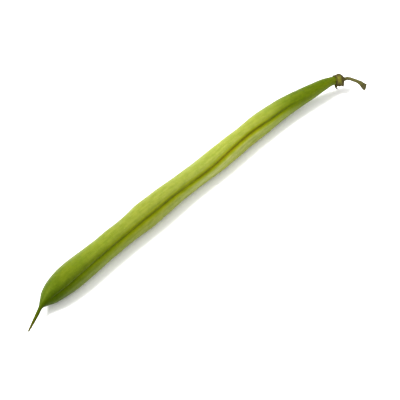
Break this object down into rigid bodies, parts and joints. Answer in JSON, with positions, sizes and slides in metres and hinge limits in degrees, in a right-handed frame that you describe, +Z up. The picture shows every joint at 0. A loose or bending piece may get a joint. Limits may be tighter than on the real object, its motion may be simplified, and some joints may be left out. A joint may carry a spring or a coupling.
{
  "type": "green bean",
  "caption": "Fresh green bean pod lying on its side, with a pointed beak, a visible seam, seed swellings, a dried calyx and a hooked stalk.",
  "frame": {"origin": "middle of the bean's bounding box, on the surface that it lies on", "axes": "+X along the pod from the beak towards the stalk, +Z up; the pod bows towards +Y and its seam looks up and towards -Y"},
  "size_m": [0.151, 0.0172, 0.0078],
  "materials": {
    "pod_skin": null,
    "dry_calyx": null,
    "stalk": "thin woody olive-brown stalk, dull"
  },
  "bodies": {
    "root": {"pod": "pod_skin", "calyx": "dry_calyx", "pedicel": "stalk"}
  },
  "joints": []
}
